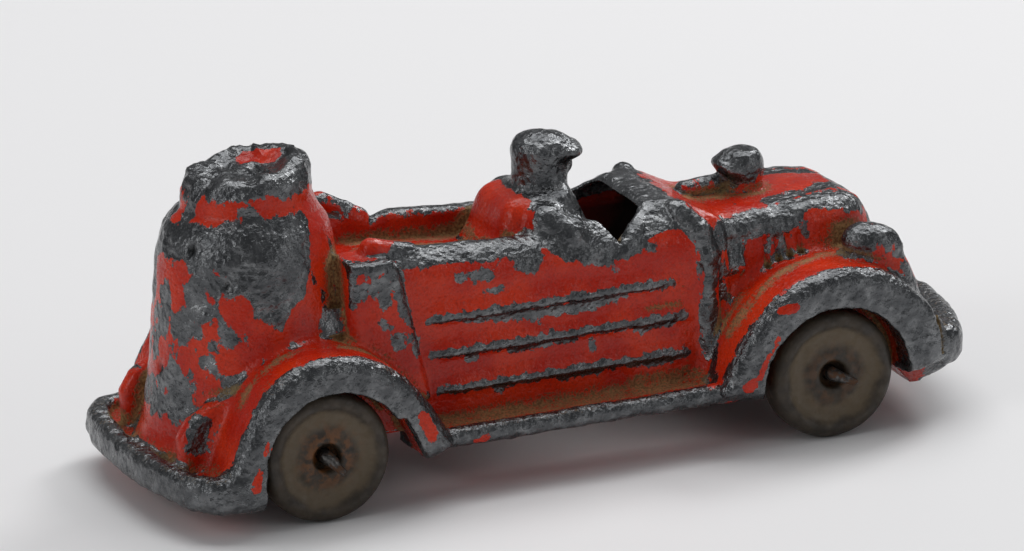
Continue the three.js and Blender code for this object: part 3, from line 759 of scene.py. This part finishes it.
def dirt_depth(p, normal):
    """How much dirt lies on each point: corners collect it, and so does the floor of the rear step."""
    x, y, z = p.T
    reach = [0.7, 1.5, 3]
    closed = sum(np.clip(t - casting_distance(p + normal * t), 0, t) / t for t in reach) / len(reach)
    placed = np.clip(along_lines(p, DIRT_LINES) + 0.5, 0, 1.1) * 0.72
    floor = np.clip(-platform_plan(x, y) - 1.6, 0, 1) * np.clip(7.4 - z, 0, 1) * (x < -33)
    clean = np.clip((z - 23.2) / 1.5, 0, 1) * (x > -3)
    dusted = 0.5 * np.clip(normal[:, 2] * 1.4, 0, 1) * np.clip((19 - z) / 4, 0, 1)
    return np.maximum.reduce([1.1 * closed, placed, 0.62 * floor, dusted]) * (1 - 0.85 * clean)


def roughen(p, normal, depth):
    """Small lumps of the casting, the dents of bare metal, and the crumpled metal on top of the boiler."""
    x, y, z = p.T
    height = 0.10 * Lumps(1)(p, 3.6) + 0.05 * Lumps(2)(p, 1.5)
    bare = np.clip(depth / 0.4, 0, 1)
    height += bare * (0.07 * Lumps(3)(p, 0.7) + 0.10 * Lumps(4)(p, 1.3) - 0.04)
    collar = np.clip((z - 29.9) / 1.2, 0, 1) * (np.hypot(x - BOILER_X, y) < 8)
    top = np.clip((normal[:, 2] - 0.3) / 0.4, 0, 1)
    folds = 1 - 2 * np.abs(Lumps(5)(p, (1.1, 2.4, 1.8)))
    dents = Lumps(6)(p, 2.4)
    height += collar * ((0.10 + 0.24 * top) * folds + 0.16 * dents + 0.08 * Lumps(7)(p, 1))
    return p + normal * height[:, None]


# Blow holes in the boiler, each with its place and size. Each is dented in a little, and the finish paints
# its inside near-black as painted shade.
PITS = [
    (-36, -4.1, 26.2, 0.32), (-33.6, -7.5, 23, 0.2), (-28.2, -9.1, 22.7, 0.25), (-38.3, -1.3, 13.6, 0.35)]

normals = slope(casting_distance, points, 0.12)
inner_side = np.clip(-casting(points)[1] / 0.8, 0, 1)
edges = np.clip(1 + casting_distance(points - normals * 0.7) / 0.7, 0, 1)
worn = np.maximum(worn_depth(points), -0.95) + 3 * np.clip(edges - 0.1, 0, 0.35)
dirt = dirt_depth(points, normals)
points = np.where(inner_side[:, None] > 0.3, points, roughen(points, normals, worn))
pit_shade = np.zeros(len(points), np.float32)
for px, py, pz, size in PITS:
    away = np.linalg.norm((points - np.array((px, py, pz))) / np.array((1, 1, 1.5)), axis=1)
    dip = np.exp(-(away / size / 1.3) ** 2)
    points -= normals * (0.5 * dip)[:, None]
    pit_shade = np.maximum(pit_shade, dip)

body_piece = make_object("cast_body", points, faces)
kept_numbers = {"worn": worn, "dirt": dirt, "inner_side": inner_side, "pit_shade": pit_shade, "edges": edges}
for name, values in kept_numbers.items():
    paint_points(body_piece, name, values)
if 2 * len(faces) > MOST_TRIANGLES:
    thin = body_piece.modifiers.new("thin", "DECIMATE")
    thin.ratio = MOST_TRIANGLES / (2 * len(faces))
    plain = plain_mesh(body_piece)
    body_piece.modifiers.clear()
    body_piece.data = plain
body_piece.data.polygons.foreach_set("use_smooth", [True] * len(body_piece.data.polygons))
body_piece.data.update()


class Wiring:
    """Short ways to add nodes to one tree and wire them; an input is given a socket or a plain value."""

    def __init__(self, tree):
        self.tree = tree

    def feed(self, socket, given):
        if isinstance(given, bpy.types.NodeSocket):
            self.tree.links.new(given, socket)
        else:
            socket.default_value = given

    def fill(self, node, **inputs):
        """Feeds a node's inputs by their names, with _ for a space."""
        for label, given in inputs.items():
            self.feed(node.inputs[label.replace("_", " ")], given)
        return node

    def node(self, kind, **inputs):
        return self.fill(self.tree.nodes.new(kind), **inputs)

    def maths(self, operation, first, *others):
        """A run of Math nodes that takes the others in one by one."""
        for other in others:
            made = self.tree.nodes.new("ShaderNodeMath")
            made.operation = operation
            self.feed(made.inputs[0], first)
            self.feed(made.inputs[1], other)
            first = made.outputs[0]
        return first

    def plus(self, *values):
        return self.maths("ADD", *values)

    def minus(self, a, b):
        return self.maths("SUBTRACT", a, b)

    def times(self, *values):
        return self.maths("MULTIPLY", *values)

    def step(self, value, low, high, start=0, end=1):
        """A smooth step from start to end while value goes from low to high."""
        made = self.node("ShaderNodeMapRange", Value=value, From_Min=low, From_Max=high,
                         To_Min=start, To_Max=end)
        made.interpolation_type = "SMOOTHSTEP"
        return made.outputs["Result"]

    def mix(self, mask, first, second):
        """A colour between two, each a socket or an RGB triple."""
        made = self.tree.nodes.new("ShaderNodeMix")
        made.data_type = "RGBA"
        self.feed(made.inputs[0], mask)
        for socket, given in ((made.inputs[6], first), (made.inputs[7], second)):
            self.feed(socket, (*given, 1) if isinstance(given, tuple) else given)
        return made.outputs[2]

    def grain(self, size_mm, detail=2, rough=0.5, stretch=None):
        """Noise from 0 to 1 whose lumps are about size_mm across."""
        place = self.node("ShaderNodeTexCoord").outputs["Object"]
        if stretch:
            place = self.node("ShaderNodeMapping", Vector=place, Scale=stretch).outputs["Vector"]
        scale = 1 / (size_mm * MM)
        made = self.node("ShaderNodeTexNoise", Vector=place, Scale=scale, Detail=detail, Roughness=rough)
        return made.outputs["Fac"]

    def blots(self, low, high, *grain):
        """Soft-edged patches of the noise that rise from 0 to 1 between two of its values."""
        return self.step(self.grain(*grain), low, high)

    def on_points(self, name):
        """The number that paint_points, or a geometry tree, keeps on each point."""
        made = self.tree.nodes.new("ShaderNodeAttribute")
        made.attribute_name = name
        return made.outputs["Fac"]

    def dirt(self, depth):
        """The shared dirt: how much it covers, and the height of its crumbs."""
        made = self.tree.nodes.new("ShaderNodeGroup")
        made.node_tree = settled_dirt
        self.fill(made, Depth=depth)
        return made.outputs["Cover"], made.outputs["Crumbs"]

    def shade(self, height, height_mm, **inputs):
        """Feeds the Principled BSDF; a height of one stands height_mm above the surface."""
        bump = self.node("ShaderNodeBump", Height=height, Distance=height_mm * MM)
        self.fill(self.tree.nodes["Principled BSDF"], Normal=bump.outputs["Normal"], **inputs)


# Dirt, shared by the enamel and the rubber: crumbs that lie thick in corners and thin out towards open
# faces.
settled_dirt = bpy.data.node_groups.new("settled_dirt", "ShaderNodeTree")
for label, way in (("Depth", "INPUT"), ("Cover", "OUTPUT"), ("Crumbs", "OUTPUT")):
    settled_dirt.interface.new_socket(label, in_out=way, socket_type="NodeSocketFloat")
wires = Wiring(settled_dirt)
crumbs = wires.grain(0.28, 2, 0.7)
patches = wires.plus(wires.times(crumbs, 1.15), wires.times(wires.grain(1.8), 0.35))
dirt_level = wires.minus(wires.node("NodeGroupInput").outputs["Depth"], patches)
wires.node("NodeGroupOutput", Cover=wires.step(dirt_level, -0.20, 0.10), Crumbs=crumbs)

# The finish: red enamel, chipped off the lead in ragged patches with small bites out of their edges.
body_finish = new_material("chipped_red_enamel")
wires = Wiring(body_finish.node_tree)
ragged = wires.minus(wires.grain(1.15, 4, 0.65, (1, 1, 0.75)), 0.5)
nibbled = wires.minus(wires.grain(0.35, 2, 0.6), 0.5)
edge_here = wires.plus(wires.on_points("worn"), wires.times(ragged, 2.3), wires.times(nibbled, 0.4))
bare = wires.step(edge_here, -0.05, 0.05)
painted = wires.minus(1, bare)
inner_side_here = wires.on_points("inner_side")

red = wires.mix(wires.blots(0.35, 0.65, 5, 3), (0.44, 0.014, 0.003), (0.58, 0.032, 0.006))
# Darker red specks: partly fine specks of dirt, partly painted reflection, the enamel's speckled sheen drawn
# as darker specks.
speckled = wires.times(wires.blots(0.52, 0.66, 0.3, 2, 0.6), 0.35)
red = wires.mix(speckled, red, (0.19, 0.012, 0.004))
bright_edges = wires.times(wires.on_points("edges"), 0.12)
metal_tone = wires.plus(wires.times(wires.grain(1.6, 4, 0.65), 0.9), bright_edges)
lead = wires.mix(wires.step(metal_tone, 0.35, 0.7), (0.085, 0.088, 0.092), (0.20, 0.205, 0.21))
dirt_cover, crumbs = wires.dirt(wires.on_points("dirt"))
dirt_colour = wires.mix(wires.step(crumbs, 0.35, 0.7), (0.14, 0.088, 0.036), (0.42, 0.30, 0.13))
colour = wires.mix(bare, red, lead)
colour = wires.mix(wires.times(dirt_cover, 0.88), colour, dirt_colour)
# The blow holes, painted near-black: painted shade inside their shallow dents.
colour = wires.mix(wires.on_points("pit_shade"), colour, (0.002, 0.002, 0.002))
# The inner walls of the hollow: dull unpainted metal, painted near-black, darker than the bare lead outside,
# as painted shade.
colour = wires.mix(inner_side_here, colour, (0.020, 0.011, 0.008))

metallic = wires.times(bare, 0.92, wires.minus(1, dirt_cover))
paint_roughness = wires.step(wires.grain(0.5, 2, 0.6), 0.35, 0.75, 0.16, 0.34)
metal_roughness = wires.step(wires.grain(0.7, 2, 0.6), 0.3, 0.7, 0.15, 0.32)
roughness = wires.plus(wires.times(bare, metal_roughness), wires.times(painted, paint_roughness))
dullest = wires.maths("MAXIMUM", wires.times(dirt_cover, 0.9), wires.times(inner_side_here, 0.8))
roughness = wires.maths("MAXIMUM", roughness, dullest)

# Relief, in millimetres: hammered lead, the paint's own thickness and wrinkles, and crumbs of dirt.
facets = wires.tree.nodes.new("ShaderNodeTexVoronoi")
facets.feature = "SMOOTH_F1"
facet_place = wires.node("ShaderNodeTexCoord").outputs["Object"]
wires.fill(facets, Vector=facet_place, Scale=1 / (0.6 * MM), Smoothness=0.35)
grit = wires.times(wires.grain(0.42, 3, 0.6), 0.09)
hammered = wires.plus(wires.times(facets.outputs["Distance"], 0.11), grit)
wrinkled = wires.times(wires.grain(0.5, 3, 0.6), wires.step(edge_here, -1.3, -0.2), 0.10)
brushed = wires.times(wires.grain(0.7, 3, 0.6), 0.05)
relief = wires.plus(wires.times(hammered, bare), wires.times(painted, 0.09), brushed,
                    wires.times(crumbs, dirt_cover, 0.16), wrinkled)
wires.shade(relief, 1, Base_Color=colour, Metallic=metallic, Roughness=roughness, Specular_IOR_Level=0.3)
body_piece.data.materials.clear()
body_piece.data.materials.append(body_finish)

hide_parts("body_casting")
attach(body_piece, "body")


# Axles. A length of steel wire through holes in the casting and the wheels, nipped flat at both ends
# so that the wheels cannot come off; the cutter leaves a small bent spur on each end.
WIRE_RADIUS = 0.68
WIRE_END = 14.3    # where each wire's round part stops, from the centre plane
wire_finish = new_material("tarnished_wire")
wires = Wiring(wire_finish.node_tree)
rust = wires.blots(0.48, 0.62, 0.9, 3.0, 0.6)
steel = wires.mix(wires.blots(0.3, 0.7, 0.3), (0.045, 0.042, 0.040), (0.13, 0.125, 0.12))
wires.shade(wires.grain(0.4, 3.0, 0.6), 0.06, Base_Color=wires.mix(rust, steel, (0.075, 0.032, 0.012)),
            Metallic=wires.minus(0.85, wires.times(rust, 0.8)),
            Roughness=wires.plus(0.36, wires.times(rust, 0.45)))


def wire_axle(at, spur):
    """Distance to one axle, at a place in X and Z, with spurs that point along X and Z."""
    def shape(p):
        q = p - np.array((at[0], 0, at[1]), np.float32)
        total = rod(q, (0, -WIRE_END, 0), (0, WIRE_END, 0), WIRE_RADIUS)
        total = total + 0.03 * Lumps(8)(q, 0.9)
        sx, sz = spur
        for side in (-1, 1):
            pinch = egg(q, (0.1, side * 14.75, 0), (1.0, 0.62, 0.5), 0.5)
            nip = rod(q, (0.2 * sx, side * 14.6, 0.2 * sz), (2.1 * sx, side * 15.65, 2.1 * sz), 0.62, 0.36)
            total = soft_joins(total, (pinch, 0.3), (nip, 0.25))
        return total
    return shape


# Each axle's joint, and which way its spurs point in X and Z.
AXLES = {"front": (front_axle_at, (0.85, -0.3)), "rear": (rear_axle_at, (0.55, -0.6))}
for end, (joint, spur) in AXLES.items():
    middle = (joint.x - MIDDLE, joint.z)
    axle_shape = wire_axle(middle, spur)
    low_corner = (middle[0] - 2.2, -16.4, middle[1] - 2.2)
    high_corner = (middle[0] + 2.2, 16.4, middle[1] + 2.2)
    axle_points, axle_faces = skin(axle_shape, low_corner, high_corner, 0.2)
    axle_piece = make_object(f"wire_axle_{end}", settle(axle_shape, axle_points), axle_faces)
    axle_piece.data.materials.append(wire_finish)
    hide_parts(f"{end}_axle")
    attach(axle_piece, f"{end}_axle")


# Wheels. Each is one ring of moulded rubber, now hard and dusty, with a rounded tread, a shallow dish in
# its outer face and a recess where the wire's end sits. No two of the four have worn quite alike.
EAR_GAP = 11.0     # inner face of each wheel, from the centre plane
MEAN_RADIUS = 3.7  # of the circle that the section is swept round
STEPS_ROUND = 96
DENTS = 0.12
# The section, as the distance from the wire's middle and from the inner face.
WHEEL_SECTION = [
    (0.80, 0), (3, 0), (5.2, 0.02), (5.9, 0.15), (6.32, 0.5), (6.52, 1), (6.57, 1.6), (6.57, 2.4), (6.52, 3),
    (6.34, 3.5), (6.02, 3.86), (5.6, 4), (5.25, 3.97), (4.95, 3.78), (4.6, 3.52), (4, 3.36), (3, 3.34),
    (2.3, 3.46), (1.9, 3.56), (1.6, 3.54), (1.4, 3.38), (1.3, 3), (1.28, 2.55), (0.80, 2.5)]


def wheel_tree():
    """Turns a section into a wheel, gives it small dents, and notes each point's distance from the hub."""
    tree = bpy.data.node_groups.new("rubber_wheel", "GeometryNodeTree")
    for label, kind in (("Geometry", "Geometry"), ("Mean Radius", "Float"), ("Steps Round", "Int"),
                        ("Dents", "Float"), ("Seed", "Float"), ("Place", "Vector"), ("Turn", "Vector"),
                        ("Finish", "Material")):
        tree.interface.new_socket(label, in_out="INPUT", socket_type="NodeSocket" + kind)
    tree.interface.new_socket("Geometry", in_out="OUTPUT", socket_type="NodeSocketGeometry")
    wires = Wiring(tree)
    given = wires.node("NodeGroupInput").outputs

    def vector(operation, source, other=None):
        made = wires.node("ShaderNodeVectorMath", Vector=source)
        made.operation = operation
        if other:
            made.inputs[1].default_value = other
        return made

    ring = wires.node("GeometryNodeCurvePrimitiveCircle", Resolution=given["Steps Round"],
                      Radius=given["Mean Radius"])
    sweep = wires.node("GeometryNodeCurveToMesh", Curve=ring.outputs["Curve"],
                       Profile_Curve=given["Geometry"])
    place = wires.node("GeometryNodeInputPosition").outputs["Position"]
    flat = vector("MULTIPLY", place, (1, 1, 0))
    from_axis = vector("LENGTH", flat.outputs["Vector"])
    noted = wires.node("GeometryNodeStoreNamedAttribute", Geometry=sweep.outputs["Mesh"], Name="from_hub",
                       Value=from_axis.outputs["Value"])
    noise = wires.node("ShaderNodeTexNoise", Vector=place, Scale=420.0, Detail=2.0)
    noise.noise_dimensions = "4D"
    wires.fill(noise, W=given["Seed"])
    centred = vector("SUBTRACT", noise.outputs["Color"], (0.5, 0.5, 0.5))
    scaled = vector("SCALE", centred.outputs["Vector"])
    wires.fill(scaled, Scale=given["Dents"])
    made = wires.node("GeometryNodeSetPosition", Geometry=noted.outputs["Geometry"],
                      Offset=scaled.outputs["Vector"])
    for kind, settings in (
            ("SetShadeSmooth", {}),
            ("Transform", {"Translation": given["Place"], "Rotation": given["Turn"]}),
            ("RealizeInstances", {}), ("SetMaterial", {"Material": given["Finish"]})):
        made = wires.node("GeometryNode" + kind, Geometry=made.outputs["Geometry"], **settings)
    wires.node("NodeGroupOutput", Geometry=made.outputs["Geometry"])
    return tree


def rubber(name, rust_amount):
    """Hard brown-grey rubber, paler in the dish, stained by the rusty wire round the hub."""
    finish = new_material(name)
    wires = Wiring(finish.node_tree)
    from_hub = wires.times(wires.on_points("from_hub"), 1 / MM)
    wander = wires.times(wires.minus(wires.grain(2.6, 3.0, 0.6), 0.5), 1.6)
    ring_place = wires.plus(from_hub, wander)
    pale_ring = wires.times(wires.step(ring_place, 2.6, 3.6), wires.step(ring_place, 5.3, 4.5))
    mottled = wires.blots(0.3, 0.7, 1.6, 3.0, 0.6)
    tone = wires.mix(mottled, (0.020, 0.0135, 0.0075), (0.045, 0.031, 0.018))
    tone = wires.mix(wires.times(pale_ring, 0.8), tone, (0.115, 0.082, 0.046))
    stain = wires.times(wires.step(ring_place, 4.4, 1.4), wires.blots(0.42, 0.62, 1.1, 3.0, 0.6))
    tone = wires.mix(wires.times(stain, rust_amount), tone, (0.17, 0.062, 0.014))
    dust_cover, _ = wires.dirt(0.42)
    tone = wires.mix(wires.times(dust_cover, 0.25), tone, (0.16, 0.12, 0.07))
    sheen = wires.step(wires.grain(0.9, 2.0, 0.6), 0.3, 0.7, 0.42, 0.68)
    wires.shade(wires.grain(0.5, 3.0, 0.6), 0.06, Base_Color=tone, Roughness=sheen)
    return finish


RUBBER = {"front": rubber("hard_old_rubber", 0.35), "rear": rubber("rust_stained_rubber", 0.85)}
WHEEL_TREE = wheel_tree()
tree_inputs = [item for item in WHEEL_TREE.interface.items_tree if item.in_out == "INPUT"]
socket_of = {item.name: item.identifier for item in tree_inputs}
for seed, (end, joint) in enumerate((("front", front_axle_at), ("rear", rear_axle_at))):
    for hand, side in (("left", 1), ("right", -1)):
        section = bpy.data.curves.new(f"wheel_section_{end}_{hand}", "CURVE")
        section.dimensions = "2D"
        spline = section.splines.new("POLY")
        spline.points.add(len(WHEEL_SECTION) - 1)
        for spot, (radius, depth) in zip(spline.points, WHEEL_SECTION):
            spot.co = ((radius - MEAN_RADIUS) * MM, -depth * MM, 0, 1)
        spline.use_cyclic_u = True
        blank = new_object(section.name, section)
        turning = blank.modifiers.new("turned", "NODES")
        turning.node_group = WHEEL_TREE
        settings = {
            "Mean Radius": MEAN_RADIUS * MM, "Steps Round": STEPS_ROUND, "Dents": DENTS * MM,
            "Seed": 10.0 * seed + 3.0 * side, "Place": (joint.x * MM, side * EAR_GAP * MM, joint.z * MM),
            "Turn": (-side * math.pi / 2, 0.0, 0.0), "Finish": RUBBER[end]}
        for label, given in settings.items():
            turning[socket_of[label]] = given
        wheel_mesh = plain_mesh(blank)
        wheel = new_object(f"rubber_wheel_{end}_{hand}", wheel_mesh)
        bpy.data.objects.remove(blank)
        whole = bmesh.new()
        whole.from_mesh(wheel_mesh)
        bmesh.ops.recalc_face_normals(whole, faces=whole.faces)
        whole.to_mesh(wheel_mesh)
        whole.free()
        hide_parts(f"wheel_{end}_{hand}")
        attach(wheel, f"wheel_{end}_{hand}")
